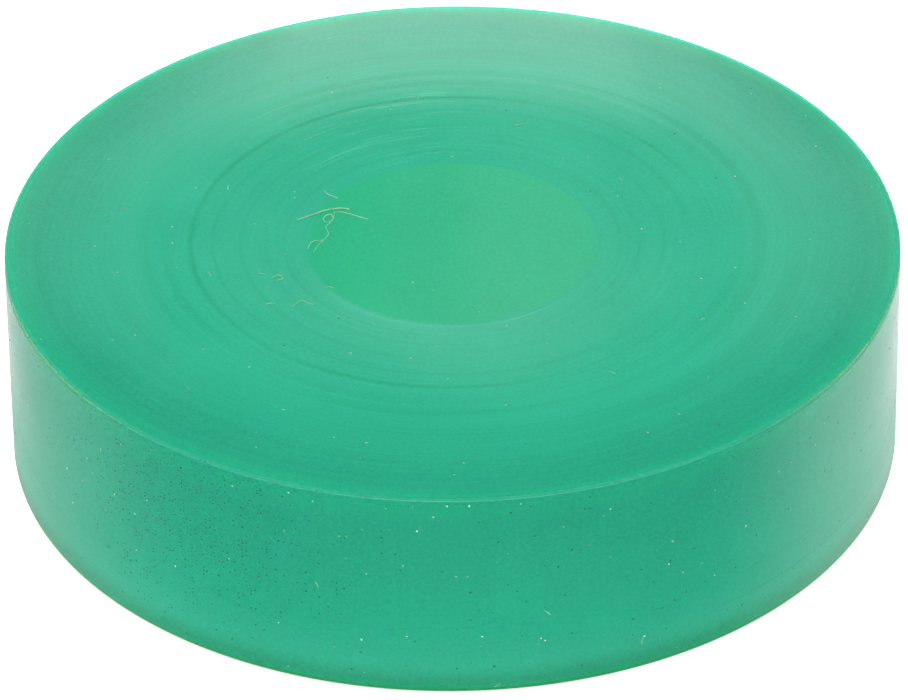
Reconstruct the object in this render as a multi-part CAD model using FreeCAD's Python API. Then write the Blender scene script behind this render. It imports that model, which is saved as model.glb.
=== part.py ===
"""Shaving soap puck, cast in one piece.

A refill puck for a shaving mug or bowl: a short cylinder with a straight wall and a flat
underside. Its top is a low crowned ring around a shallow centre with a slightly dished
floor, where the wet brush is loaded. The ring carries the fine circular grooves that the
turned mould left.

Millimetres. The origin is the centre of the underside and +Z points up, out of the top.
"""

import FreeCAD, Part
import math
import os

# Driving dimensions
PUCK_RADIUS = 33.0
RIM_HEIGHT = 16.8  # underside to the plane of the top rim
CROWN_RISE = 0.36  # how far the crowned ring stands above the rim
CROWN_RADIUS = 25.0  # from the axis to the highest line of the crown
SHOULDER_RADIUS = 29.5  # where the crown starts to round over to the rim
SHOULDER_DROP = 0.09  # crown to shoulder
INNER_SLOPE_RADIUS = 16.0  # where the crown runs out into a straight inner slope
CENTRE_RADIUS = 10.7
CENTRE_DEPTH = 0.45  # crown to the edge of the centre's floor
CENTRE_DISH = 0.16  # edge of the centre's floor to its middle
RIM_EDGE_RADIUS = 0.06
FOOT_EDGE_RADIUS = 0.4

# Grooves that the turned mould left in the crowned ring: radius, width, depth
MOULD_GROOVES = [
    (30.5, 0.50, 0.015),
    (25.5, 1.60, 0.025),
    (22.6, 1.00, 0.020),
    (21.2, 0.80, 0.015),
    (19.3, 0.45, 0.015),
    (17.6, 0.40, 0.010),
    (15.6, 0.40, 0.010),
    (13.8, 0.35, 0.010),
    (12.4, 0.35, 0.010),
]

# Derived sizes
CROWN_HEIGHT = RIM_HEIGHT + CROWN_RISE
SHOULDER_HEIGHT = CROWN_HEIGHT - SHOULDER_DROP
CENTRE_HEIGHT = CROWN_HEIGHT - CENTRE_DEPTH
FLOOR_HEIGHT = CENTRE_HEIGHT - CENTRE_DISH
EDGE_TOP_RADIUS = PUCK_RADIUS - RIM_EDGE_RADIUS

# The crown's inner arc starts level and ends at the slope of the straight run, so over its
# width it drops half as far as the straight run would.
INNER_ARC_WIDTH = CROWN_RADIUS - INNER_SLOPE_RADIUS
INNER_SLOPE_WIDTH = INNER_SLOPE_RADIUS - CENTRE_RADIUS
INNER_ARC_DROP = CENTRE_DEPTH * INNER_ARC_WIDTH / (INNER_ARC_WIDTH + 2 * INNER_SLOPE_WIDTH)
INNER_SLOPE_HEIGHT = CROWN_HEIGHT - INNER_ARC_DROP

UP = FreeCAD.Vector(0, 0, 1)
ORIGIN = FreeCAD.Vector(0, 0, 0)


def point(radius, height):
    """A point of the half section, which lies in the XZ plane."""
    return FreeCAD.Vector(radius, 0, height)


def angle_of(step):
    """The angle of a step in the half section, counted from +X towards +Z."""
    return math.atan2(step.z, step.x)


def line(start, end):
    """A straight edge of the half section."""
    return Part.LineSegment(start, end).toShape()


def edge_arc(centre, radius, start_degrees, end_degrees):
    """A round edge of the half section, about centre, with angles counted from +X."""
    ends = []
    for degrees in (start_degrees, 0.5 * (start_degrees + end_degrees), end_degrees):
        turn = math.radians(degrees)
        ends.append(centre + point(radius * math.cos(turn), radius * math.sin(turn)))
    return Part.Arc(*ends).toShape()


def tangent_arc(start, end, leaving):
    """An arc that leaves start at this angle and ends at end.

    The chord turns from the leaving angle by half the arc's turn, so the arc's middle
    stands off the chord by half its length times the tangent of a quarter of the turn.
    """
    chord = end - start
    half_turn = angle_of(chord) - leaving
    bow = point(chord.z, -chord.x) * (0.5 * math.tan(0.5 * half_turn))
    return Part.Arc(start, start + chord * 0.5 + bow, end).toShape()


def crown_edges():
    """The top, from the rim's edge in over the crown and down to the centre's floor."""
    rim = point(EDGE_TOP_RADIUS, RIM_HEIGHT)
    shoulder = point(SHOULDER_RADIUS, SHOULDER_HEIGHT)
    crown = point(CROWN_RADIUS, CROWN_HEIGHT)
    inner_slope = point(INNER_SLOPE_RADIUS, INNER_SLOPE_HEIGHT)
    centre = point(CENTRE_RADIUS, CENTRE_HEIGHT)
    fall_at_shoulder = 2 * angle_of(shoulder - crown)
    return [
        tangent_arc(shoulder, rim, fall_at_shoulder),
        tangent_arc(crown, shoulder, 0),
        tangent_arc(inner_slope, crown, angle_of(inner_slope - centre)),
        line(inner_slope, centre),
    ]


def height_on(crown, radius):
    """The height where a plumb line at this distance from the axis meets the crown."""
    plumb_line = line(point(radius, 0), point(radius, 2 * RIM_HEIGHT))
    meeting_points = crown.distToShape(plumb_line)[1]
    return meeting_points[0][0].z


def half_section(crown):
    """The closed outline on one side of the axis, without the mould's grooves."""
    foot_centre = point(PUCK_RADIUS - FOOT_EDGE_RADIUS, FOOT_EDGE_RADIUS)
    edge_centre = point(EDGE_TOP_RADIUS, RIM_HEIGHT - RIM_EDGE_RADIUS)
    return Part.Wire(
        [
            line(ORIGIN, point(foot_centre.x, 0)),
            edge_arc(foot_centre, FOOT_EDGE_RADIUS, -90, 0),
            line(point(PUCK_RADIUS, foot_centre.z), point(PUCK_RADIUS, edge_centre.z)),
            edge_arc(edge_centre, RIM_EDGE_RADIUS, 0, 90),
            *crown.Edges,
            tangent_arc(point(0, FLOOR_HEIGHT), point(CENTRE_RADIUS, CENTRE_HEIGHT), 0),
            line(point(0, FLOOR_HEIGHT), ORIGIN),
        ]
    )


def groove_cutter(crown, radius, width, depth):
    """A ring of round section that bites a groove of this width and depth."""
    section_radius = (0.25 * width**2 + depth**2) / (2 * depth)
    height = height_on(crown, radius) + section_radius - depth
    return Part.makeTorus(radius, section_radius, point(0, height), UP)


def soap_puck():
    """The whole puck: the turned section with every groove cut in it."""
    crown = Part.Compound(crown_edges())
    blank = Part.Face(half_section(crown)).revolve(ORIGIN, UP, 360)
    cutters = [groove_cutter(crown, *groove) for groove in MOULD_GROOVES]
    return blank.cut(cutters)


def as_one_solid(shape):
    """The single solid in a cut's result, which comes back as a compound."""
    (solid,) = shape.Solids
    return solid


if __name__ == "__main__":
    os.makedirs("parts", exist_ok=True)
    puck = as_one_solid(soap_puck())
    puck.exportStep("parts/soap_puck.step")
    box = puck.optimalBoundingBox()
    print(f"soap_puck: {box.XLength:.2f} x {box.YLength:.2f} x {box.ZLength:.2f} mm,")
    print(f"{puck.Volume / 1000:.2f} cm3, {len(puck.Faces)} faces, valid {puck.isValid()}")
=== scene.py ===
# %% [markdown]
# # A puck of shaving soap
#
# The object is one round block of translucent green glycerine soap, the refill for a shaving
# mug. It was poured hot into a turned mould, cooled and knocked out. The lesson makes the block
# as one closed surface worked out with numpy, gives it the look of cast soap, adds the lint and
# dust that its tacky face has picked up, and lights it on a white table.

# %% Load the fixed frame
import math

import bpy
import numpy as np
from mathutils import Matrix, Vector


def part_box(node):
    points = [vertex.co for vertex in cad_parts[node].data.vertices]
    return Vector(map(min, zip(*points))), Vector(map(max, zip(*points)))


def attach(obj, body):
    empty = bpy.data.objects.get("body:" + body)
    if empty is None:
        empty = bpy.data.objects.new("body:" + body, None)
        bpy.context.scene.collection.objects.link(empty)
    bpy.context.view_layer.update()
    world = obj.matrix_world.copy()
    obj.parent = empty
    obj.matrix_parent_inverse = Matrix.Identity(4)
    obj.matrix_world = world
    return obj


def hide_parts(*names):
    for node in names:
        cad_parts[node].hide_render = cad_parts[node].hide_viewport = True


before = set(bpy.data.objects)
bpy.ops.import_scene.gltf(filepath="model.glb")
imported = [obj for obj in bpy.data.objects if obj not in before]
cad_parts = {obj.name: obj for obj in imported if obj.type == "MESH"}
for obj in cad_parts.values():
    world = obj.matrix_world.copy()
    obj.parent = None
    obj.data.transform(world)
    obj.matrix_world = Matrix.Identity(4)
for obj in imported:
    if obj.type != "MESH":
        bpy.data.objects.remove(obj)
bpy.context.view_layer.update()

# %% [markdown]
# ## Sizes
#
# Blender works in metres and the soap is easier to think about in millimetres, so MM turns one
# into the other. The outer sizes come from the frame. The few that the box can't tell, such as
# how far the crowned ring stands above the rim, are the design's own.

# %% Sizes
MM = 0.001
BODY = "root"

low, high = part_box("soap_puck")
PUCK_RADIUS = 0.5 * (high[1] - low[1]) / MM
CROWN_HEIGHT = high[2] / MM
CROWN_RISE = 0.36  # crown above the plane of the rim
RIM_HEIGHT = CROWN_HEIGHT - CROWN_RISE
print(f"puck: radius {PUCK_RADIUS:.2f} mm, rim at {RIM_HEIGHT:.2f} mm")

# %% [markdown]
# ## The camera
#
# A long lens far away keeps the round top nearly free of perspective, as in a catalogue
# picture. The camera is aimed a little under the middle of the rim, and it leans by two thirds
# of a degree. It is placed first, so that every later step can be looked at.

# %% Camera
LENS = 294.0  # mm, on a sensor 36 mm wide
ELEVATION = math.radians(34.36)
LEAN = math.radians(-0.65)
DISTANCE = 546.5  # mm, from the aim point to the lens
AIM_RIGHT = 0.03  # mm, from the middle of the rim, across the view
AIM_DOWN = 8.0

BACK = Vector((0.0, -math.cos(ELEVATION), math.sin(ELEVATION)))
UPWARD = Vector((0.0, math.sin(ELEVATION), math.cos(ELEVATION)))
RIGHT = Vector((1.0, 0.0, 0.0))
aim = Vector((0.0, 0.0, RIM_HEIGHT)) + AIM_RIGHT * RIGHT - AIM_DOWN * UPWARD

camera = bpy.data.objects.new("camera", bpy.data.cameras.new("camera"))
camera.data.lens = LENS
camera.data.sensor_width = 36.0
camera.data.clip_start = 0.01
camera.data.clip_end = 100.0
axes = Matrix((RIGHT, UPWARD, BACK)).transposed().to_4x4()
place = Matrix.Translation((aim + DISTANCE * BACK) * MM)
camera.matrix_world = place @ axes @ Matrix.Rotation(LEAN, 4, "Z")
bpy.context.scene.collection.objects.link(camera)
bpy.context.scene.camera = camera
print("camera at", [round(c, 3) for c in camera.matrix_world.translation])

# %% [markdown]
# ## Two helpers for meshes
#
# Every shape here is a grid of points, so one function turns grids into faces and one turns
# points and faces into an object. A face lists its corners anticlockwise as seen from outside,
# which is what makes it point outwards.

# %% Mesh helpers
def grid_faces(rows, columns, first=0):
    """Quads between neighbouring rows of a grid that closes on itself sideways.

    Point (row, column) has index first + row * columns + column. Each quad joins two rows at
    one column and at the next, which for the last column is column 0.
    """
    row = np.arange(rows - 1)[:, None]
    column = np.arange(columns)[None, :]
    after = (column + 1) % columns
    corners = [
        row * columns + column,
        (row + 1) * columns + column,
        (row + 1) * columns + after,
        row * columns + after,
    ]
    return first + np.stack(np.broadcast_arrays(*corners), axis=-1).reshape(-1, 4)


def new_piece(name, points_mm, faces, material):
    """A smooth-shaded object from points in millimetres and faces, at the origin, on the body."""
    mesh = bpy.data.meshes.new(name)
    mesh.from_pydata((np.asarray(points_mm) * MM).tolist(), [], [list(map(int, f)) for f in faces])
    mesh.shade_smooth()
    mesh.materials.append(material)
    piece = bpy.data.objects.new(name, mesh)
    bpy.context.scene.collection.objects.link(piece)
    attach(piece, BODY)
    print(f"{name}: {len(mesh.vertices)} points, {len(mesh.polygons)} faces")
    return piece


# %% [markdown]
# ## Three helpers for materials
#
# Colours are written as sRGB hex, as a colour picker gives them, and Blender wants linear
# light, so one function converts. One makes an empty material. The third adds a node, sets its
# values and links its inputs in one line, which keeps each material short enough to read as a
# recipe.

# %% Material helpers
def linear(hex_colour):
    """sRGB hex to linear RGBA: c / 12.92 in the darks, ((c + 0.055) / 1.055) ** 2.4 above."""
    parts = [int(hex_colour[i : i + 2], 16) / 255 for i in (1, 3, 5)]
    light = [c / 12.92 if c <= 0.04045 else ((c + 0.055) / 1.055) ** 2.4 for c in parts]
    return (*light, 1.0)


def new_material(name):
    """An empty node material and its tree."""
    material = bpy.data.materials.new(name)
    material.use_nodes = True
    material.node_tree.nodes.clear()
    return material, material.node_tree


def add(tree, kind, inputs=(), **settings):
    """Adds one shader node and gives its outputs.

    settings are the node's own values. inputs gives each socket, in order or by name, another
    node's output to link or a value to set.
    """
    node = tree.nodes.new(f"ShaderNode{kind}")
    for name, value in settings.items():
        setattr(node, name, value)
    pairs = inputs.items() if isinstance(inputs, dict) else enumerate(inputs)
    for socket, value in pairs:
        if isinstance(value, bpy.types.NodeSocket):
            tree.links.new(value, node.inputs[socket])
        else:
            node.inputs[socket].default_value = value
    return node.outputs


# Settings that come back again and again
MINUS = {"operation": "SUBTRACT"}
TIMES = {"operation": "MULTIPLY"}
TIMES_PLUS = {"operation": "MULTIPLY_ADD"}
SOFT_STEP = {"interpolation_type": "SMOOTHSTEP"}  # a MapRange from 0 at one value to 1 at another
COLOURS = {"data_type": "RGBA"}  # a Mix of two colours, in its sockets 6 and 7, out of output 2
print("helpers ready")

# %% [markdown]
# ## The soap
#
# Glycerine soap is a clear jelly full of dye and very fine bubbles. Light goes in, wanders some
# millimetres and comes out green, so edges glow and shadows are soft. That is subsurface
# scattering: its radius says how far red, green and blue travel, and the green dye lets red
# travel the least. The skin is smooth and slightly greasy, so it mirrors its surroundings
# softly. The refractive index of glycerine soap is about 1.47.
#
# Every pattern on it belongs to a place: turned lines on the crowned ring, pinholes on the
# wall, a painted shade along the edge at the foot and a painted gold highlight on the rim. So the
# first step works out where a point of the skin is.

# %% Where a point of the puck is
CENTRE_RADIUS = 10.7


def puck_places(tree):
    """Places in mm and zones from 0 to 1, each a node output.

    The radius is the length of (x, y), and around is (x, y) divided by it. The wall unrolls to
    its length round from the front, which is the angle times the radius, and the height.
    """
    where = add(tree, "TexCoord")["Object"]
    place = add(tree, "VectorMath", {0: where, 3: 1 / MM}, operation="SCALE")[0]
    axes = add(tree, "SeparateXYZ", (place,))
    x, y, z = axes["X"], axes["Y"], axes["Z"]
    flat = add(tree, "CombineXYZ", (x, y))[0]
    radius = add(tree, "VectorMath", (flat,), operation="LENGTH")["Value"]
    unit = add(tree, "VectorMath", (flat,), operation="NORMALIZE")[0]
    around = add(tree, "SeparateXYZ", (unit,))
    forward = add(tree, "Math", (y, -1.0), **TIMES)[0]
    angle = add(tree, "Math", (x, forward), operation="ARCTAN2")[0]
    length = add(tree, "Math", (angle, PUCK_RADIUS), **TIMES)[0]

    centre = add(tree, "MapRange", (radius, CENTRE_RADIUS + 0.1, CENTRE_RADIUS - 0.1), **SOFT_STEP)[0]
    wall = add(tree, "MapRange", (radius, PUCK_RADIUS - 0.25, PUCK_RADIUS - 0.05), **SOFT_STEP)[0]
    not_wall = add(tree, "Math", (1.0, wall), **MINUS)[0]
    not_centre = add(tree, "Math", (1.0, centre), **MINUS)[0]
    rim_side = add(tree, "MapRange", (radius, PUCK_RADIUS - 0.5, PUCK_RADIUS - 0.1), **SOFT_STEP)[0]
    rim_level = add(tree, "MapRange", (z, RIM_HEIGHT - 0.6, RIM_HEIGHT - 0.1), **SOFT_STEP)[0]
    return {
        "place": place,
        "x": x,
        "z": z,
        "sideways": add(tree, "Math", (x,), operation="ABSOLUTE")[0],
        "radius": radius,
        "around_x": around["X"],
        "around_y": around["Y"],
        "unrolled": add(tree, "CombineXYZ", (length, z))[0],
        "centre": centre,
        "wall": wall,
        "ring": add(tree, "Math", (not_centre, not_wall), **TIMES)[0],
        "rim": add(tree, "Math", (rim_side, rim_level), **TIMES)[0],
    }


# %% [markdown]
# ## What the mould leaves
#
# The mould was turned on a lathe, so the crowned ring carries fine circular lines. They are a
# noise that reads the distance from the axis, and varies slowly on the way round because it
# also reads the direction from the axis, as a unit vector. The lines are a bump and also painted
# shade and highlight in the colour. Where the turning tool chattered, a few of the lines stand up
# as a bump, and their glint is a painted highlight.
#
# The rest is even all over: soft clouds some millimetres wide where the pour cooled unevenly, a
# mottle of half a millimetre, and a fine speckle. The speckle is really finer than a tenth of a
# millimetre and is drawn about twice as coarse, so that it shows.

# %% Lines, clouds and speckle
LINE_SPACING = 0.28  # mm
GLINT_STRETCH = (1.15, 2.4, 2.4)  # of the lines' pattern: outwards, and the direction round
GLINT_TOPS = (0.61, 0.74)  # only noise above these becomes a glint
BREAK_STRETCH = (0.05, -1.1, 1.1)  # slow outwards, so a whole groove fades at once
CHATTER_PLACE = (-6.5, 18.0, 17.0)  # mm
CHATTER_REACH = 10.0
CLOUD_SIZE = 9.0
MOTTLE_SIZE = 0.55
SPECKLE_SIZE = 0.22
DRAG_LENGTHS = (0.3, 7.0)  # mm across and along the marks that the mould's wall drew


def surface_patterns(tree, at):
    """Noises from 0 to 1: lines, glints, broken, clouds, mottle, speckle and drag."""
    step = add(tree, "Math", (at["radius"], LINE_SPACING), operation="DIVIDE")[0]
    turned = add(tree, "CombineXYZ", (step, at["around_x"], at["around_y"]))[0]
    glint_place = add(tree, "VectorMath", (turned, GLINT_STRETCH), **TIMES)[0]
    broken_place = add(tree, "VectorMath", (turned, BREAK_STRETCH), **TIMES)[0]
    drag_scale = (1 / DRAG_LENGTHS[0], 1 / DRAG_LENGTHS[1], 0.0)
    drag_place = add(tree, "VectorMath", (at["unrolled"], drag_scale), **TIMES)[0]
    recipes = {
        "lines": {"Vector": turned, "Scale": 1.0, "Detail": 3.0, "Roughness": 0.6},
        "glints": {"Vector": glint_place, "Scale": 1.0, "Detail": 1.0},
        "broken": {"Vector": broken_place, "Scale": 1.0, "Detail": 1.0},
        "clouds": {"Vector": at["place"], "Scale": 1 / CLOUD_SIZE, "Detail": 2.0},
        "mottle": {"Vector": at["place"], "Scale": 1 / MOTTLE_SIZE, "Detail": 3.0, "Roughness": 0.6},
        "speckle": {"Vector": at["place"], "Scale": 1 / SPECKLE_SIZE, "Detail": 2.0, "Roughness": 0.7},
        "drag": {"Vector": drag_place, "Scale": 1.0, "Detail": 2.0},
    }
    made = {name: add(tree, "TexNoise", recipe)["Fac"] for name, recipe in recipes.items()}
    away = add(tree, "VectorMath", (at["place"], CHATTER_PLACE), operation="DISTANCE")["Value"]
    shaken = add(tree, "MapRange", (away, CHATTER_REACH, 0.5 * CHATTER_REACH), **SOFT_STEP)[0]
    shaken = add(tree, "Math", (shaken, at["ring"]), **TIMES)[0]
    highest = add(tree, "MapRange", (made["glints"], *GLINT_TOPS), **SOFT_STEP)[0]
    made["glints"] = add(tree, "Math", (highest, shaken), **TIMES)[0]
    return made


# %% [markdown]
# ## Pinholes
#
# Bubbles that met the cold wall of the mould left pinholes of about a tenth of a millimetre.
# Voronoi cells on the unrolled wall give one feature point each. A cell's random colour decides
# whether its point is a hole and how big, and the odds rise towards the front left, where this
# puck has most of them.

# %% Pinholes
PINHOLE_SPACING = 0.33  # mm
PINHOLE_RADIUS = 0.065
PINHOLE_CROWD = (-19.6, -26.6, 13.0)  # mm, where they are thickest
PINHOLE_REACH = (15.0, 1.0)  # mm from there, where the crowd starts and where it is full
PINHOLE_ODDS = (0.015, 0.62)  # far from there, and what being there adds
PINHOLE_SIZES = (0.45, 0.8)  # the smallest, and what luck adds, as shares of the radius


def pinholes(tree, at):
    """1 in a hole and 0 outside, with a soft edge."""
    recipe = {"Vector": at["unrolled"], "Scale": 1 / PINHOLE_SPACING, "Randomness": 1.0}
    cells = add(tree, "TexVoronoi", recipe, voronoi_dimensions="2D")
    luck = add(tree, "SeparateColor", (cells["Color"],))
    away = add(tree, "VectorMath", (at["place"], PINHOLE_CROWD), operation="DISTANCE")["Value"]
    near = add(tree, "MapRange", (away, *PINHOLE_REACH), **SOFT_STEP)[0]
    odds = add(tree, "Math", (near, PINHOLE_ODDS[1], PINHOLE_ODDS[0]), **TIMES_PLUS)[0]
    chosen = add(tree, "Math", (luck[0], odds), operation="LESS_THAN")[0]
    chosen = add(tree, "Math", (chosen, at["wall"]), **TIMES)[0]
    size = add(tree, "Math", (luck[1], PINHOLE_SIZES[1], PINHOLE_SIZES[0]), **TIMES_PLUS)[0]
    reach = add(tree, "Math", (cells["Distance"], size), operation="DIVIDE")[0]
    edge = PINHOLE_RADIUS / PINHOLE_SPACING
    hole = add(tree, "MapRange", (reach, 1.5 * edge, 0.5 * edge), **SOFT_STEP)[0]
    return add(tree, "Math", (hole, chosen), **TIMES)[0]


# %% [markdown]
# ## The mould's seam
#
# Low on the right the wall has a hair-thin level line, probably where two parts of the mould
# met. It fades out on the way to the front.

# %% Seam line
SEAM_HEIGHT = 3.1  # mm above the foot
SEAM_EDGES = (0.10, 0.03)  # mm from that height, where it is gone and where it is full
SEAM_START = (17.0, 22.0)  # mm to the right, where it begins and where it is full


def mould_seam(tree, at):
    """1 within some hundredths of a millimetre of the seam's height, on the right of the wall."""
    off = add(tree, "Math", (at["z"], SEAM_HEIGHT), **MINUS)[0]
    off = add(tree, "Math", (off,), operation="ABSOLUTE")[0]
    line = add(tree, "MapRange", (off, *SEAM_EDGES), **SOFT_STEP)[0]
    side = add(tree, "MapRange", (at["x"], *SEAM_START), **SOFT_STEP)[0]
    line = add(tree, "Math", (line, side), **TIMES)[0]
    return add(tree, "Math", (line, at["wall"]), **TIMES)[0]


# %% [markdown]
# ## The colour of the soap
#
# The dye is the same everywhere, but the colour also carries painted light and shade. The centre
# is a little yellower and the wall a little paler. Towards the foot the wall is paler still, a
# painted glow of the table's light, and the grooves are painted a deeper green as painted shade.
# So the colour starts as the soap's green, and a list of tints is laid over it in order. A second
# list makes it lighter or darker by a share. Its darkening outwards, on the rim, under it and at
# the foot is painted shade, and its turned lines are painted shade and highlight.
#
# All these shares are matched. The deeper green on the centre's left is painted shade, and the
# gold on the rim's edge at the far left and right is a painted highlight. They are tied to places
# on the puck, so they turn with it.

# %% Colours
# Of these, the centre's side green, the groove green and the foot's olive are painted shade, and the
# glint green and the rim's gold are painted highlights.
SOAP_GREEN = "#23ae8b"
CENTRE_GREEN = "#2db185"
CENTRE_LEFT_SHADE_GREEN = "#1eb083"
PALE_GREEN = "#47b597"
GROOVE_SHADE_GREEN = "#14a07a"
GLINT_GREEN = "#8fdcc0"
PINHOLE_GREEN = "#0a6a5f"
RIM_GOLD_HIGHLIGHT = "#a59a48"
FOOT_SHADE_OLIVE = "#226b39"

# Stretches over which something sets in: what it follows, where it is 0 and where it is 1, in mm
SPANS = {
    "foot": ("z", 6.0, 0.0),
    "foot_shadow": ("z", 2.6, 0.0),
    "foot_tip": ("z", 0.60, 0.30),
    "foot_turn": ("radius", PUCK_RADIUS - 0.5, PUCK_RADIUS - 0.3),
    "flanks": ("sideways", 20.0, 29.0),
    "centre_left": ("x", -2.0, -9.0),
    "outwards": ("radius", 22.0, PUCK_RADIUS),
    "upwards": ("z", 3.0, RIM_HEIGHT),
    "under_rim": ("z", RIM_HEIGHT - 1.2, RIM_HEIGHT - 0.1),
    "edge_side": ("radius", PUCK_RADIUS - 0.12, PUCK_RADIUS - 0.06),
    "edge_level": ("z", RIM_HEIGHT - 0.12, RIM_HEIGHT - 0.06),
}

# Masks: the product of these spans, zones and patterns
MASKS = {
    "painted_foot_glow": ("foot", "wall"),
    "centre_left_shade": ("centre", "centre_left"),
    "groove_painted_shade": ("groove", "unbroken"),
    "high_outside_shade": ("outwards", "upwards"),
    "under_rim_painted_shade": ("wall", "under_rim"),
    "ring_line_shading": ("centred_lines", "ring"),
    "wall_drag": ("centred_drag", "wall"),
    "gold_edge_highlight": ("edge_side", "edge_level", "flanks", "speckle_breaks"),
    "foot_edge_shade": ("foot_turn", "foot_tip"),
}

# Tints laid over the soap's green in this order: mask, strength, colour
TINTS = [
    ("centre", 1.0, CENTRE_GREEN),
    # painted shade: the centre's left is a deeper green
    ("centre_left_shade", 0.8, CENTRE_LEFT_SHADE_GREEN),
    ("wall", 0.25, PALE_GREEN),
    # painted light: the wall paler towards the foot, a glow of the table's light
    ("painted_foot_glow", 0.7, PALE_GREEN),
    # painted shade in the grooves
    ("groove_painted_shade", 0.8, GROOVE_SHADE_GREEN),
    # painted highlight on the chattered lines, besides their bump
    ("glints", 0.22, GLINT_GREEN),
]

# How much each of these brightens the colour, as a share of it
SHADES = [
    ("centred_clouds", 0.12),
    ("centred_speckle", 0.38),
    # painted shade and highlight along the turned lines, besides their bump
    ("ring_line_shading", 0.20),
    ("wall_drag", 0.06),
    # painted shade: darker outwards on the top and on the whole wall
    ("outwards", -0.09),
    # painted shade: darker again outwards on the top and growing up the wall
    ("high_outside_shade", -0.09),
    # painted shade on the rim's edge
    ("rim", -0.12),
    # painted shade just under the rim
    ("under_rim_painted_shade", -0.08),
    ("foot_shadow", -0.42),
]

# Laid over the shaded colour: mask, strength, colour
MARKS = [
    ("hole", 1.0, PINHOLE_GREEN),
    ("seam", 0.22, PINHOLE_GREEN),
    # painted shade along the foot's edge, where it meets the table
    ("foot_edge_shade", 1.0, FOOT_SHADE_OLIVE),
    # painted highlight: gold on the rim's edge at the left and right, broken up by the speckle
    ("gold_edge_highlight", 0.5, RIM_GOLD_HIGHLIGHT),
]


def soap_masks(tree, at, patterns):
    """Every mask by name: the spans, the zones, the patterns and the products of them."""
    made = {**at, **patterns}
    for name, (follows, start, end) in SPANS.items():
        made[name] = add(tree, "MapRange", (made[follows], start, end), **SOFT_STEP)[0]
    for name in ("clouds", "speckle", "lines", "drag"):
        made[f"centred_{name}"] = add(tree, "Math", (made[name], 0.5), **MINUS)[0]
    made["groove"] = add(tree, "Attribute", attribute_name="groove")["Fac"]
    made["unbroken"] = add(tree, "MapRange", (made["broken"], 0.30, 0.62), **SOFT_STEP)[0]
    made["speckle_breaks"] = add(tree, "MapRange", (made["speckle"], 0.35, 0.60), **SOFT_STEP)[0]
    for name, (first, *others) in MASKS.items():
        made[name] = made[first]
        for other in others:
            made[name] = add(tree, "Math", (made[name], made[other]), **TIMES)[0]
    return made


def laid_over(tree, colour, masks, tints):
    """The colour after each tint: colour + strength * mask * (tint - colour)."""
    for name, strength, tint in tints:
        share = add(tree, "Math", (masks[name], strength), **TIMES)[0]
        colour = add(tree, "Mix", {0: share, 6: colour, 7: linear(tint)}, **COLOURS)[2]
    return colour


def soap_colour(tree, masks):
    """The tints over the soap's green, times 1 plus the sum of shades, and the marks on that."""
    colour = laid_over(tree, linear(SOAP_GREEN), masks, TINTS)
    shade = 1.0
    for name, strength in SHADES:
        shade = add(tree, "Math", (masks[name], strength, shade), **TIMES_PLUS)[0]
    colour = add(tree, "VectorMath", {0: colour, 3: shade}, operation="SCALE")[0]
    return laid_over(tree, colour, masks, MARKS)


# %% [markdown]
# ## Relief and gloss
#
# The turned lines are three thousandths of a millimetre deep and the mottle less, which is
# nothing to the fingertip but enough to break up a reflection, so they are a bump and not
# geometry. The bump's distance is one millimetre, so every height is simply in millimetres.
#
# The skin was cast against a smooth mould, and the centre is the smoothest. The sharp rim is
# the roughest, as rubbed edges are, and the lower wall is a little rougher than the upper.

# %% Material: cast glycerine soap
SOAP_IOR = 1.47
LIGHT_REACH = 6.0  # mm, how far light wanders in the soap
REACH_BY_COLOUR = (0.25, 1.0, 0.65)  # red, green and blue, as shares of that

# What stands up or lies deep, in mm
RELIEF = [
    ("ring_relief", 0.0030),
    ("glints", 0.0015),
    ("mottle", 0.0022),
    ("speckle", 0.0009),
    ("hole", -0.04),
    ("seam", -0.004),
]

LOW_WALL = (11.0, 3.0)  # mm, where the rougher lower wall begins and where it is full
ROUGHNESS = 0.17
ROUGHER = [("centre", -0.05), ("rim", 0.35), ("centred_clouds", 0.10), ("low_wall", 0.13)]


def soap_material():
    """Cast glycerine soap: colour, gloss and relief all read the place on the puck in mm."""
    material, tree = new_material("cast_glycerine_soap")
    at = puck_places(tree)
    patterns = surface_patterns(tree, at)
    patterns["hole"] = pinholes(tree, at)
    patterns["seam"] = mould_seam(tree, at)
    masks = soap_masks(tree, at, patterns)
    masks["ring_relief"] = add(tree, "Math", (masks["lines"], masks["ring"]), **TIMES)[0]
    low_down = add(tree, "MapRange", (masks["z"], *LOW_WALL), **SOFT_STEP)[0]
    masks["low_wall"] = add(tree, "Math", (masks["wall"], low_down), **TIMES)[0]

    height, roughness = 0.0, ROUGHNESS
    for name, depth in RELIEF:
        height = add(tree, "Math", (masks[name], depth, height), **TIMES_PLUS)[0]
    for name, more in ROUGHER:
        roughness = add(tree, "Math", (masks[name], more, roughness), **TIMES_PLUS)[0]
    shader = add(
        tree,
        "BsdfPrincipled",
        {
            "Base Color": soap_colour(tree, masks),
            "Roughness": roughness,
            "Normal": add(tree, "Bump", {"Height": height, "Distance": MM, "Strength": 1.0})[0],
            "IOR": SOAP_IOR,
            "Subsurface Weight": 1.0,
            "Subsurface Radius": REACH_BY_COLOUR,
            "Subsurface Scale": LIGHT_REACH * MM,
        },
        subsurface_method="RANDOM_WALK",
    )
    add(tree, "OutputMaterial", {"Surface": shader[0]})
    return material


soap = soap_material()
print("soap:", len(soap.node_tree.nodes), "nodes")

# %% [markdown]
# ## The block
#
# The puck is a solid of revolution, so its whole skin is one profile carried round the axis.
# The profile starts in the middle of the top, runs out over the crowned ring, turns down the
# wall, tucks under at the foot and comes back to the axis. Where the mould's turning tool
# paused, the ring has shallow grooves, and those are cut in the profile itself.
#
# A lathe or screw modifier would do the same. Computing the points keeps the rows close where
# the grooves are and wide apart where nothing happens.

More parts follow.
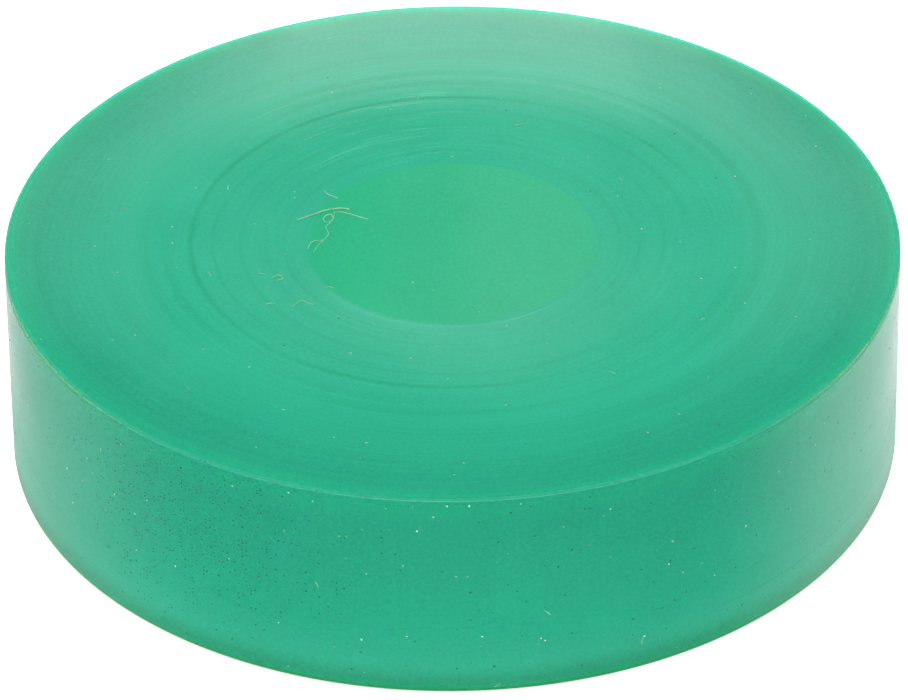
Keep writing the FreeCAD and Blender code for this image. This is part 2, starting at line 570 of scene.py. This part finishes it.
# %% The profile
# All in mm, as in the design
CROWN_RADIUS = 25.0  # where the top is highest
SHOULDER_RADIUS = 29.5  # where it starts to round over to the rim
SHOULDER_DROP = 0.09
INNER_SLOPE_RADIUS = 16.0  # where the crown runs out into a straight inner slope
CENTRE_DEPTH = 0.45  # crown to the edge of the centre's floor
CENTRE_DISH = 0.16  # edge of that floor to its middle
RIM_EDGE = 0.06
FOOT_EDGE = 0.4


def crown_height(radius):
    """Height of the top without grooves.

    Outwards from the crown the height falls with the square of the distance, by the shoulder's
    drop at the shoulder, and then faster, so that it meets the rim. Inwards it falls with the
    square of the distance and then along a straight slope down to the centre, whose floor is
    dished by the square of the distance too. Slopes match where the outer stretches meet.
    """
    arc = CROWN_RADIUS - INNER_SLOPE_RADIUS
    slope = CENTRE_DEPTH / (0.5 * arc + INNER_SLOPE_RADIUS - CENTRE_RADIUS)
    inside = np.clip(CROWN_RADIUS - radius, 0, arc)
    along_slope = np.clip(INNER_SLOPE_RADIUS - radius, 0, INNER_SLOPE_RADIUS - CENTRE_RADIUS)
    shoulder = SHOULDER_RADIUS - CROWN_RADIUS
    outside = np.clip(radius - CROWN_RADIUS, 0, shoulder)
    past = np.clip(radius - SHOULDER_RADIUS, 0, None)
    fall = 2 * SHOULDER_DROP / shoulder
    reach = PUCK_RADIUS - RIM_EDGE - SHOULDER_RADIUS
    curl = (CROWN_RISE - SHOULDER_DROP - fall * reach) / reach**2
    drop = 0.5 * slope / arc * inside**2 + slope * along_slope
    drop += SHOULDER_DROP * (outside / shoulder) ** 2 + fall * past + curl * past**2
    drop += CENTRE_DISH * np.clip(1 - (radius / CENTRE_RADIUS) ** 2, 0, None)
    return CROWN_HEIGHT - drop


print("top of the middle:", round(float(crown_height(np.array([0.0]))[0]), 2), "mm")

# %% [markdown]
# ## The grooves
#
# Where the tool paused, the mould got a ridge, and the soap a groove. They are so shallow that
# their relief hardly shades them, so each has a depth for the shape and a painted shade, a deeper
# green, for the colour. The shade goes into the mesh as an attribute, one number to a point, and
# the material reads it.

# %% Grooves
# Grooves in the crowned ring: radius, width, depth, painted shade (0 to 1, how deep a green is painted)
GROOVES = [
    (30.5, 0.50, 0.0012, 0.18),
    (25.5, 1.60, 0.0035, 0.35),
    (22.6, 1.00, 0.0035, 0.55),
    (21.2, 0.80, 0.0025, 0.50),
    (19.3, 0.45, 0.0030, 1.00),
    (17.6, 0.40, 0.002, 0.45),
    (15.6, 0.40, 0.002, 0.45),
    (13.8, 0.35, 0.002, 0.35),
    (12.4, 0.35, 0.002, 0.35),
    (10.95, 0.30, 0.004, 0.60),
]


def groove_depth(radius):
    """Sum over the grooves of depth times (1 - x squared), where x is 1 at a groove's edge."""
    table = np.array(GROOVES)
    x = (radius[:, None] - table[:, 0]) / (0.5 * table[:, 1])
    return (table[:, 2] * np.clip(1 - x**2, 0, None)).sum(axis=1)


def groove_shade(radius):
    """Sum over the grooves of shade times (1 - x squared) squared, x being 1 at 0.8 widths."""
    table = np.array(GROOVES)
    x = (radius[:, None] - table[:, 0]) / (0.8 * table[:, 1])
    return (table[:, 3] * np.clip(1 - x**2, 0, None) ** 2).sum(axis=1)


print(len(GROOVES), "grooves, the deepest", max(depth for _, _, depth, _ in GROOVES), "mm")

# %% [markdown]
# ## The whole section
#
# The rows of the profile lie close on the ring, where the grooves are, and at both ends of the
# wall, where light leaks round the edges. Between, they are wide apart. On the wall their
# heights follow a cosine, which crowds them at the ends.

# %% The section
MIDDLE_RADIUS = 0.4  # mm, the first row round the top's middle
UNDER_MIDDLE_RADIUS = 0.8  # mm, the last row round the underside's middle
CENTRE_ROWS = 22
RING_ROWS = 225
EDGE_ROWS = 9
WALL_ROWS = 40
UNDER_ROWS = 24


def edge_arc(centre_radius, centre_height, edge, start, end, steps):
    """Points of a round edge, at equal angles in degrees from start to end."""
    turn = np.radians(np.linspace(start, end, steps))
    return np.stack([centre_radius + edge * np.cos(turn), centre_height + edge * np.sin(turn)], 1)


def puck_profile():
    """Rows of (radius, height) from beside the top's middle to beside the underside's middle."""
    edge_top = PUCK_RADIUS - RIM_EDGE
    centre_radius = np.linspace(MIDDLE_RADIUS, CENTRE_RADIUS - 0.05, CENTRE_ROWS)
    ring_radius = np.linspace(CENTRE_RADIUS, edge_top, RING_ROWS)
    radius = np.concatenate([centre_radius, ring_radius])
    top = np.stack([radius, crown_height(radius) - groove_depth(radius)], axis=1)
    rim = edge_arc(edge_top, RIM_HEIGHT - RIM_EDGE, RIM_EDGE, 90, 0, EDGE_ROWS)[1:]
    crowded = 0.5 + 0.5 * np.cos(np.linspace(0, np.pi, WALL_ROWS)[1:-1])
    heights = FOOT_EDGE + (RIM_HEIGHT - RIM_EDGE - FOOT_EDGE) * crowded
    wall = np.stack([np.full(heights.shape, PUCK_RADIUS), heights], axis=1)
    foot = edge_arc(PUCK_RADIUS - FOOT_EDGE, FOOT_EDGE, FOOT_EDGE, 0, -90, EDGE_ROWS)
    under_radius = np.linspace(PUCK_RADIUS - FOOT_EDGE, UNDER_MIDDLE_RADIUS, UNDER_ROWS)[1:]
    under = np.stack([under_radius, np.zeros(under_radius.shape)], axis=1)
    return np.concatenate([top, rim, wall, foot, under])


print("section:", len(puck_profile()), "rows")

# %% [markdown]
# ## Carrying the section round
#
# Each row of the section becomes a circle of points. The two ends stop just short of the axis,
# and a fan of triangles closes each, so that the skin is one closed surface. This piece stands
# for the design's block, which stays hidden and does the colliding.

# %% The block
AROUND = 288  # points in each circle


def make_puck():
    """The profile carried round the axis: a row at (r, z) becomes (r cos a, r sin a, z).

    A point on the axis closes each end with a fan of triangles.
    """
    profile = puck_profile()
    rows = len(profile)
    turn = np.linspace(0, 2 * np.pi, AROUND, endpoint=False)
    radius, height = profile[:, :1], profile[:, 1:]
    skin = np.stack([radius * np.cos(turn), radius * np.sin(turn), height + 0 * turn], axis=-1)
    middles = [[0, 0, profile[0, 1]], [0, 0, profile[-1, 1]]]
    points = np.concatenate([skin.reshape(-1, 3), middles])
    top, bottom = rows * AROUND, rows * AROUND + 1
    column = np.arange(AROUND)
    after = (column + 1) % AROUND
    last = (rows - 1) * AROUND
    cap_top = np.stack([np.full(AROUND, top), column, after], axis=1)
    cap_bottom = np.stack([np.full(AROUND, bottom), last + after, last + column], axis=1)
    faces = [*grid_faces(rows, AROUND), *cap_top, *cap_bottom]
    piece = new_piece("soap_block", points, faces, soap)
    # The grooves' painted shade, on the upper skin only, as the attribute that the colour reads
    upper = points[:, 2] > RIM_HEIGHT - RIM_EDGE
    shade = groove_shade(np.hypot(points[:, 0], points[:, 1])) * upper
    piece.data.attributes.new("groove", "FLOAT", "POINT").data.foreach_set("value", shade)
    return piece


soap_block = make_puck()
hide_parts("soap_puck")

# %% [markdown]
# ## Lint
#
# Glycerine soap is tacky and draws water, so whatever touches it stays. A few textile fibres lie
# curled at the edge of the centre. Each is a smooth curve through listed points, in mm across the
# top, with a thin tube carried along it. A curve object with a bevel would look the same, but a
# mesh tube keeps its few faces under control.

# %% Tubes along curves
def smooth_path(points, steps=8):
    """A Catmull-Rom curve: between points b and c, with neighbours a and d, the place at t is
    half of 2b + (c - a) t + (2a - 5b + 4c - d) t^2 + (3b - a - 3c + d) t^3."""
    points = np.asarray(points, dtype=float)
    padded = np.concatenate([points[:1], points, points[-1:]])
    a, b, c, d = (padded[i : len(padded) - 3 + i, None, :] for i in range(4))
    t = (np.arange(steps) / steps)[None, :, None]
    curve = 2 * b + (c - a) * t + (2 * a - 5 * b + 4 * c - d) * t**2
    curve = 0.5 * (curve + (3 * b - a - 3 * c + d) * t**3)
    return np.concatenate([curve.reshape(-1, points.shape[1]), points[-1:]])


def tube(path, up, radius, sides=6):
    """A closed tube: at each place of the path, radius * (side cos a + over sin a), where side is
    square to the path and to up, and over is square to both. Ends are tapered and capped."""
    along = np.gradient(path, axis=0)
    along /= np.linalg.norm(along, axis=1, keepdims=True)
    side = np.cross(along, up)
    side /= np.linalg.norm(side, axis=1, keepdims=True)
    over = np.cross(side, along)
    a = np.linspace(0, 2 * np.pi, sides, endpoint=False)[None, :, None]
    taper = np.sin(np.pi * np.linspace(0.08, 0.92, len(path)))[:, None, None] ** 0.35
    ring = side[:, None, :] * np.cos(a) + over[:, None, :] * np.sin(a)
    points = (path[:, None, :] + radius * taper * ring).reshape(-1, 3)
    start = list(range(sides))
    end = [(len(path) - 1) * sides + i for i in reversed(range(sides))]
    return points, [*grid_faces(len(path), sides).tolist(), start, end]


def join(shapes):
    """Many (points, faces) pairs as one pair, with the face indices moved along."""
    first = np.cumsum([0] + [len(points) for points, _ in shapes])
    faces = [
        [i + int(shift) for i in face] for (_, made), shift in zip(shapes, first) for face in made
    ]
    return np.concatenate([points for points, _ in shapes]), faces


# %% [markdown]
# ## What clings to the soap
#
# Cotton threads, paper dust, tan flakes and dark grit are all matt. Each gets two colours, and
# a noise at the size of its grain chooses between them and roughens it. The cotton is tinted
# towards the green, because threads this thin let the soap show through.

# %% Materials: lint and dust
def dull_material(name, pale, dark, grain_mm, roughness):
    """A matt, fibrous or crumbly solid, mottled between two colours at the size of its grain."""
    material, tree = new_material(name)
    where = add(tree, "TexCoord")["Object"]
    recipe = {"Vector": where, "Scale": 1 / (grain_mm * MM), "Detail": 2.0, "Roughness": 0.7}
    grain = add(tree, "TexNoise", recipe)["Fac"]
    share = add(tree, "MapRange", (grain, 0.35, 0.65))[0]
    colour = add(tree, "Mix", {0: share, 6: linear(dark), 7: linear(pale)}, **COLOURS)[2]
    bump = add(tree, "Bump", {"Height": grain, "Distance": 0.1 * grain_mm * MM})[0]
    look = {"Base Color": colour, "Roughness": roughness, "Normal": bump, "IOR": 1.53}
    shader = add(tree, "BsdfPrincipled", look)
    add(tree, "OutputMaterial", {"Surface": shader[0]})
    return material


cotton = dull_material("cotton_lint", "#cfe0c3", "#93bd98", 0.35, 0.85)
paper_dust = dull_material("paper_dust", "#eaf0dc", "#b9c9a8", 0.3, 0.9)
tan_flakes = dull_material("tan_flakes", "#cdb08a", "#9c8458", 0.3, 0.8)
grit = dull_material("dark_grit", "#1f5a49", "#0c332c", 0.2, 0.6)

# %% [markdown]
# ## The threads
#
# The thickest is 0.08 mm across and lies over the edge of the centre, with a finer one looped
# under it. The rest are specks of thread to the front left.

# %% The lint
LONG_LINT = [
    [(-11.5, 3.15), (-10.3, 3.85), (-9.5, 4.35), (-8.3, 4.75), (-7.6, 4.65)],
]
FINE_LINT = [
    [(-8.7, 4.3), (-8.1, 4.25), (-7.3, 3.85), (-6.6, 3.5), (-6.2, 3.4)],
    [
        (-8.73, 4.31),
        (-8.79, 3.49),
        (-9.1, 3.0),
        (-9.41, 2.95),
        (-9.51, 3.4),
        (-9.28, 3.82),
        (-8.95, 3.88),
        (-8.82, 3.33),
        (-9.1, 2.68),
        (-9.34, 2.29),
        (-9.23, 1.76),
        (-9.15, 1.3),
        (-9.47, 0.56),
        (-9.87, -0.09),
        (-10.26, -1.13),
    ],
    [(-9.47, 0.56), (-9.75, 0.47), (-10.15, 0.35), (-10.48, 0.03), (-10.63, -0.68)],
    [(-9.47, 7.09), (-9.23, 6.6), (-8.82, 6.33), (-8.49, 6.16)],
]
FAINT_LINT = [
    [(-11.7, -8.5), (-11.1, -7.7), (-10.7, -7.9), (-10.2, -8.15)],
    [(-13.3, -4.7), (-12.8, -4.3), (-12.4, -4.7), (-12.9, -5.0)],
    [(-14.3, -4.1), (-13.7, -4.2)],
    [(-13.6, -8.2), (-13.0, -8.1)],
    [(-9.2, -5.7), (-8.7, -5.85)],
]


def lint_shapes(strands, thickness):
    """Each strand rests on the top, its middle half a thickness up, and bows up a little."""
    shapes = []
    for strand in strands:
        path = smooth_path(strand)
        rest = crown_height(np.hypot(path[:, 0], path[:, 1])) + 0.45 * thickness
        bow = 0.05 * np.sin(np.linspace(0, np.pi, len(path))) ** 2
        path = np.column_stack([path, rest + bow])
        shapes.append(tube(path, (0, 0, 1), 0.5 * thickness))
    return shapes


# Name, strands, thickness in mm
LINT = [
    ("lint_long", LONG_LINT, 0.08),
    ("lint_fine", FINE_LINT, 0.042),
    ("lint_faint", FAINT_LINT, 0.036),
]
for name, strands, thickness in LINT:
    new_piece(name, *join(lint_shapes(strands, thickness)), cotton)

# %% [markdown]
# ## Dust
#
# The rest is dust: pale flecks of paper, tan flakes, dark grit and a few short fibres, thinly
# and evenly spread over the top and thicker on the wall. Most are scattered with a fixed seed,
# and the ones that catch the eye are placed one by one.
#
# A place is a point with three directions: two along the surface and one out of it. Whatever
# lies there is made flat first and then laid down with them.

# %% Places for dust
rng = np.random.default_rng(23)


def on_top(x, y):
    """Places on the top, and at each the two directions along it and the normal."""
    x, y = np.asarray(x, dtype=float), np.asarray(y, dtype=float)
    place = np.stack([x, y, crown_height(np.hypot(x, y))], axis=1)
    return place, np.broadcast_to(np.eye(3), (len(x), 3, 3))


def on_wall(degrees, height):
    """Places on the wall at angles from the front, and at each sideways, up and out."""
    a = np.radians(np.asarray(degrees, dtype=float))
    out = np.stack([np.sin(a), -np.cos(a), 0 * a], axis=1)
    sideways = np.stack([np.cos(a), np.sin(a), 0 * a], axis=1)
    up = np.broadcast_to([0.0, 0.0, 1.0], out.shape)
    place = PUCK_RADIUS * out + np.asarray(height, dtype=float)[:, None] * up
    return place, np.stack([sideways, up, out], axis=1)


def scattered(top_count, wall_count):
    """Even in area: on the top the radius is the root of an even number, on the wall the angle
    and the height are even."""
    radius = (PUCK_RADIUS - 0.6) * np.sqrt(rng.uniform(0.02, 1, top_count))
    turn = rng.uniform(0, 2 * np.pi, top_count)
    top = on_top(radius * np.cos(turn), radius * np.sin(turn))
    degrees = rng.uniform(-180, 180, wall_count)
    wall = on_wall(degrees, rng.uniform(0.5, RIM_HEIGHT - 0.4, wall_count))
    return both(top, wall)


def both(first, second):
    """Two sets of places as one."""
    return tuple(np.concatenate(pair) for pair in zip(first, second))


print("a place at the front of the wall:", on_wall([0], [8])[0].round(1).tolist())

# %% [markdown]
# ## Flecks and fibres
#
# A fleck is a squashed octahedron with its corners pushed about, which is enough at a fifth of
# a millimetre. A fibre is a thin bent tube with four sides.

# %% Flecks and fibres
def flecks(places, smallest, largest):
    """Octahedra of half length between the two sizes, narrower across and thin, turned at random
    about the normal: corner = place + directions times (length, width, thickness) times the
    unit octahedron's corner."""
    place, directions = places
    count = len(place)
    unit = np.array([(1, 0, 0), (0, 1, 0), (-1, 0, 0), (0, -1, 0), (0, 0, 1), (0, 0, -1)], float)
    unit = unit[None] + rng.uniform(-0.25, 0.25, (count, 6, 3))
    length = rng.uniform(smallest, largest, count)
    half = np.stack([length, length * rng.uniform(0.4, 0.9, count), 0.45 * length], axis=1)
    turn = rng.uniform(0, 2 * np.pi, count)
    cos, sin = np.cos(turn)[:, None], np.sin(turn)[:, None]
    local = unit * half[:, None, :]
    x = local[:, :, 0] * cos - local[:, :, 1] * sin
    y = local[:, :, 0] * sin + local[:, :, 1] * cos
    turned = np.stack([x, y, local[:, :, 2]], axis=2)
    points = place[:, None, :] + np.einsum("nki,nij->nkj", turned, directions)
    ring = np.arange(4)
    upper = np.stack([ring, (ring + 1) % 4, np.full(4, 4)], axis=1)
    lower = np.stack([(ring + 1) % 4, ring, np.full(4, 5)], axis=1)
    faces = np.concatenate([upper, lower])[None] + 6 * np.arange(count)[:, None, None]
    return points.reshape(-1, 3), faces.reshape(-1, 3).tolist()


def fibres(places, shortest, longest, thickness):
    """Bent tubes lying along the surface: at t from -1 to 1 the middle is at
    length / 2 * (t, bend * t squared) in the plane of the surface."""
    shapes = []
    for place, directions in zip(*places):
        length = rng.uniform(shortest, longest)
        turn = rng.uniform(0, 2 * np.pi)
        bend = rng.uniform(-0.3, 0.3)
        t = np.linspace(-1, 1, 6)
        flat = 0.5 * length * np.stack([t, bend * t**2], axis=1)
        spin = np.array([[np.cos(turn), np.sin(turn)], [-np.sin(turn), np.cos(turn)]])
        path = place + (flat @ spin) @ directions[:2] + 0.3 * thickness * directions[2]
        shapes.append(tube(path, directions[2], 0.5 * thickness, sides=4))
    return join(shapes)


print("a fleck has 6 points and 8 faces")

# %% [markdown]
# ## The dust itself
#
# Each kind is one piece, made of the few listed on the top and the wall and the many
# scattered over both.

# %% The dust
pale = both(
    both(on_top([6.75, -11.7, -11.7, 14.0], [-13.6, 6.9, 6.1, 1.3]), scattered(60, 150)),
    on_wall(
        [-20.8, -8.5, -5.2, -1.0, 6.4, 0.0, -6.2, -21.5, 1.7, 8.0],
        [16.2, 16.0, 16.3, 16.4, 12.1, 10.3, 5.2, 0.9, 16.4, 16.3],
    ),
)
tan = both(
    both(on_top([-1.2], [-13.8]), scattered(14, 30)),
    on_wall([-11.5, -14.4, -13.5, 16.7, 13.3], [14.0, 13.2, 13.2, 11.9, 13.9]),
)
dark = both(
    both(
        on_top([2.3, 10.3, 10.9, -0.6, -0.2, -2.8, 14.5], [11.1, 6.6, 0.7, -10.8, -10.6, -12.4, -11.0]),
        scattered(12, 40),
    ),
    on_wall([15.6, -11.4, -13.9, -26.3], [11.6, 14.6, 8.7, 2.6]),
)
threads = both(
    both(on_top([5.13, 12.6], [15.6, 8.0]), scattered(4, 5)),
    on_wall([11.3, 23.6, 5.0], [6.6, 2.4, 0.6]),
)
new_piece("dust_pale", *flecks(pale, 0.04, 0.105), paper_dust)
new_piece("dust_tan", *flecks(tan, 0.05, 0.115), tan_flakes)
new_piece("dust_dark", *flecks(dark, 0.05, 0.10), grit)
new_piece("dust_fibres", *fibres(threads, 0.3, 0.65, 0.04), cotton)

# %% [markdown]
# ## The table
#
# The puck stands on white acrylic lit from below, as on a light table, so no hard shadow forms
# under it and the soap is lit from the foot as well. The table gives off light instead of being
# lit, which keeps it an even white, and it stays out of the puck's reflections.

# %% Table
TABLE_HALF = 3.0  # metres
TABLE_GLOW = 0.8


def make_table():
    """One square, glowing evenly."""
    material, tree = new_material("opal_acrylic_table")
    look = {
        "Base Color": linear("#f2f2f2"),
        "Roughness": 0.9,
        "Emission Color": (1, 1, 1, 1),
        "Emission Strength": TABLE_GLOW,
    }
    add(tree, "OutputMaterial", {"Surface": add(tree, "BsdfPrincipled", look)[0]})
    corners = np.array([(-1, -1, 0), (1, -1, 0), (1, 1, 0), (-1, 1, 0)]) * TABLE_HALF
    mesh = bpy.data.meshes.new("table")
    mesh.from_pydata(corners.tolist(), [], [(0, 1, 2, 3)])
    mesh.materials.append(material)
    table = bpy.data.objects.new("table", mesh)
    table.visible_glossy = False
    bpy.context.scene.collection.objects.link(table)
    print("table:", 2 * TABLE_HALF, "m across")


make_table()

# %% [markdown]
# ## The lights
#
# What the top mirrors from this angle is whatever stands low behind the puck, so a large
# softbox stands there, 10 cm from the axis. A real one is brightest in the middle. Nested
# panels add up to that, each a little larger than the last. Three smaller lamps widen the
# reflection at the sides, and a big softbox overhead and in front lights the body of the soap.
#
# The powers are tiny because the panels are small and close: the brightness of a panel is its
# power over pi times its area.

# %% Lights
def softbox(name, place_mm, aim_mm, width_mm, height_mm, power):
    """A rectangular area light at a place, turned to face a point, that the camera can't see."""
    light = bpy.data.lights.new(name, "AREA")
    light.shape = "RECTANGLE"
    light.size = width_mm * MM
    light.size_y = height_mm * MM
    light.energy = power
    box = bpy.data.objects.new(name, light)
    facing = (Vector(aim_mm) - Vector(place_mm)).to_track_quat("-Z", "Y").to_matrix().to_4x4()
    box.matrix_world = Matrix.Translation(Vector(place_mm) * MM) @ facing
    box.visible_camera = False
    bpy.context.scene.collection.objects.link(box)
    print(f"{name}: {width_mm} x {height_mm} mm, {power} W")


PANEL_DISTANCE = 100.0  # mm behind the axis
PANEL_HEIGHT = 55.5
PANEL_STEP = (1.0, 0.3)  # mm right and back from one panel to the next
PANELS = [(34, 35, 0.0027), (50, 35, 0.0031), (66, 36, 0.0026), (112, 40, 0.0058)]  # mm, mm, W
for number, (width, height, power) in enumerate(PANELS):
    across = PANEL_STEP[0] * number
    place = (across, PANEL_DISTANCE + PANEL_STEP[1] * number, PANEL_HEIGHT)
    softbox(f"back_panel_{number}", place, (across, 0, PANEL_HEIGHT), width, height, power)

softbox("right_panel", (44, 101, 84), (44, 0, 84), 40, 28, 0.0019)
softbox("left_panel", (-43, 101, 84), (-43, 0, 84), 34, 28, 0.0012)
softbox("back_lamp", (5, 99.5, 85), (5, 0, 85), 9, 10, 0.00013)
softbox("key_softbox", (-50, -150, 600), (0, 0, 0), 400, 400, 4.4)

# %% [markdown]
# ## The room
#
# The camera sees a white background. The soap sees a dim room above the table, and below the
# horizon the glow of the table's far side, which is what makes the left and right of the wall
# pale. The glow falls off towards the camera and is a little stronger on the right.

# %% World
ROOM = 0.17  # brightness above the horizon
TABLE_FAR, TABLE_NEAR = 1.0, 0.04  # brightness of the table's far and near side


def make_world():
    """Room above, table glow below, and plain white for the camera."""
    world = bpy.data.worlds.new("studio")
    bpy.context.scene.world = world
    world.use_nodes = True
    tree = world.node_tree
    tree.nodes.clear()
    direction = add(tree, "SeparateXYZ", (add(tree, "TexCoord")["Generated"],))
    fall_off = (direction["Y"], -0.35, 0.35, TABLE_NEAR, TABLE_FAR)
    below = add(tree, "MapRange", fall_off, **SOFT_STEP)[0]
    side = add(tree, "Math", (direction["X"], 0.35, 1.0), **TIMES_PLUS)[0]
    below = add(tree, "Math", (below, side), **TIMES)[0]
    above = add(tree, "MapRange", (direction["Z"], -0.15, 0.15), **SOFT_STEP)[0]
    glow = add(tree, "Mix", {0: above, 2: below, 3: ROOM}, data_type="FLOAT")[0]
    seen = add(tree, "LightPath")["Is Camera Ray"]
    strength = add(tree, "Mix", {0: seen, 2: glow, 3: 1.0}, data_type="FLOAT")[0]
    background = add(tree, "Background", {"Color": (1, 1, 1, 1), "Strength": strength})
    add(tree, "OutputWorld", {"Surface": background[0]})
    print("room:", len(tree.nodes), "nodes")


make_world()
bpy.context.scene.view_settings.view_transform = "Standard"
